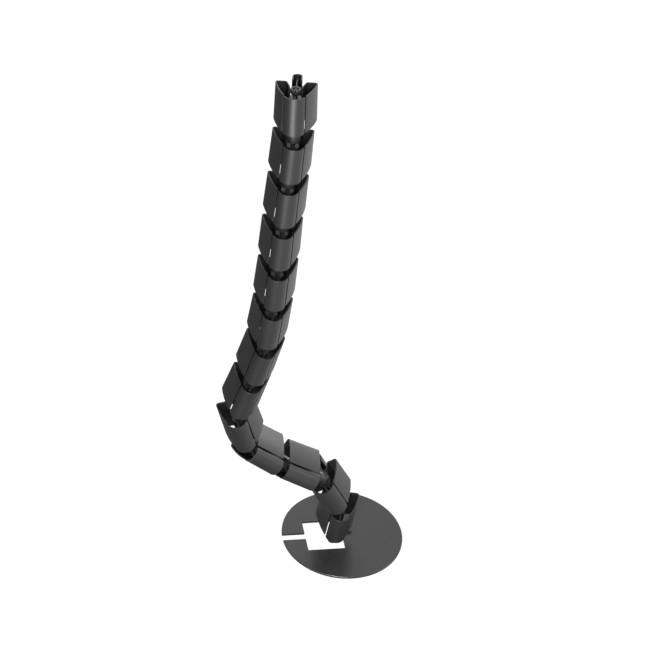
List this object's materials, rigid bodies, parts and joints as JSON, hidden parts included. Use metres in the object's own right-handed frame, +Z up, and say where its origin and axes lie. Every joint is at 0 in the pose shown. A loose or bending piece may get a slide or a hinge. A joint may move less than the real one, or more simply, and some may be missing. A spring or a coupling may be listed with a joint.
{
  "type": "cable spine",
  "caption": "Upright cable spine of snap-together links on a round weighted foot, to lead floor cables up to a desk.",
  "frame": {"origin": "on the floor, under the middle of the box around the whole part at rest", "axes": "+Z up, +X to the right and +Y to the rear of the foot plate, whose cut-out is square to both"},
  "size_m": [0.3338, 0.2, 0.9502],
  "materials": {
    "link_plastic": "satin black moulded plastic",
    "bracket_plastic": "satin black moulded plastic",
    "plate_steel": "dark grey powder coat on steel",
    "screw_steel": "blackened steel",
    "foot_rubber": "black rubber"
  },
  "bodies": {
    "foot": {"bracket_screw_front": "screw_steel", "bracket_screw_rear": "screw_steel", "foot_bracket": "bracket_plastic", "foot_plate": "plate_steel", "rubber_foot_1": "foot_rubber", "rubber_foot_2": "foot_rubber", "rubber_foot_3": "foot_rubber", "rubber_foot_4": "foot_rubber"},
    "link_01": {"link_01": "link_plastic"},
    "link_02": {"link_02": "link_plastic"},
    "link_03": {"link_03": "link_plastic"},
    "link_04": {"link_04": "link_plastic"},
    "link_05": {"link_05": "link_plastic"},
    "link_06": {"link_06": "link_plastic"},
    "link_07": {"link_07": "link_plastic"},
    "link_08": {"link_08": "link_plastic"},
    "link_09": {"link_09": "link_plastic"},
    "link_10": {"link_10": "link_plastic"},
    "link_11": {"link_11": "link_plastic"},
    "link_12": {"link_12": "link_plastic"},
    "link_13": {"link_13": "link_plastic"}
  },
  "joints": [
    {"name": "bend_01", "type": "hinge", "parent": "foot", "child": "link_01", "pos_m": [0.0484, -0.0105, 0.0188], "axis": [0.9833, -0.1822, 0], "range_deg": [-34, 16]},
    {"name": "bend_02", "type": "hinge", "parent": "link_01", "child": "link_02", "pos_m": [0.05153, -0.02346, 0.09565], "axis": [0.1628, 0.974, 0.1576], "range_deg": [-3.5, 66.5]},
    {"name": "bend_03", "type": "hinge", "parent": "link_02", "child": "link_03", "pos_m": [0.01402, -0.02823, 0.16388], "axis": [0.0221, 0.9996, -0.0176], "range_deg": [-3, 67]},
    {"name": "bend_04", "type": "hinge", "parent": "link_03", "child": "link_04", "pos_m": [-0.05401, -0.02605, 0.20196], "axis": [0.4882, 0.109, 0.8659], "range_deg": [-32, 18]},
    {"name": "bend_05", "type": "hinge", "parent": "link_04", "child": "link_05", "pos_m": [-0.11405, -0.03184, 0.25142], "axis": [-0.1236, 0.9921, 0.021], "range_deg": [-66.5, 3.5]},
    {"name": "bend_06", "type": "hinge", "parent": "link_05", "child": "link_06", "pos_m": [-0.13928, -0.03654, 0.32507], "axis": [0.0798, 0.9942, 0.0723], "range_deg": [-66.5, 3.5]},
    {"name": "bend_07", "type": "hinge", "parent": "link_06", "child": "link_07", "pos_m": [-0.12225, -0.04341, 0.40088], "axis": [0.9521, -0.1995, -0.2319], "range_deg": [-25.5, 24.5]},
    {"name": "bend_08", "type": "hinge", "parent": "link_07", "child": "link_08", "pos_m": [-0.10797, -0.05041, 0.47724], "axis": [0.1946, 0.9805, 0.0267], "range_deg": [-27.5, 42.5]},
    {"name": "bend_09", "type": "hinge", "parent": "link_08", "child": "link_09", "pos_m": [-0.10321, -0.05346, 0.55504], "axis": [0.9822, -0.1753, -0.0669], "range_deg": [-23.5, 26.5]},
    {"name": "bend_10", "type": "hinge", "parent": "link_09", "child": "link_10", "pos_m": [-0.10145, -0.05392, 0.63302], "axis": [0.1666, 0.9857, -0.0243], "range_deg": [-34, 36]},
    {"name": "bend_11", "type": "hinge", "parent": "link_10", "child": "link_11", "pos_m": [-0.10068, -0.05213, 0.71099], "axis": [0.9874, -0.1582, -0.0061], "range_deg": [-23, 27]},
    {"name": "bend_12", "type": "hinge", "parent": "link_11", "child": "link_12", "pos_m": [-0.09814, -0.04787, 0.78884], "axis": [0.1656, 0.9832, -0.0767], "range_deg": [-34.5, 35.5]},
    {"name": "bend_13", "type": "hinge", "parent": "link_12", "child": "link_13", "pos_m": [-0.09604, -0.04216, 0.8666], "axis": [0.9858, -0.1671, -0.0143], "range_deg": [-19, 31]}
  ]
}
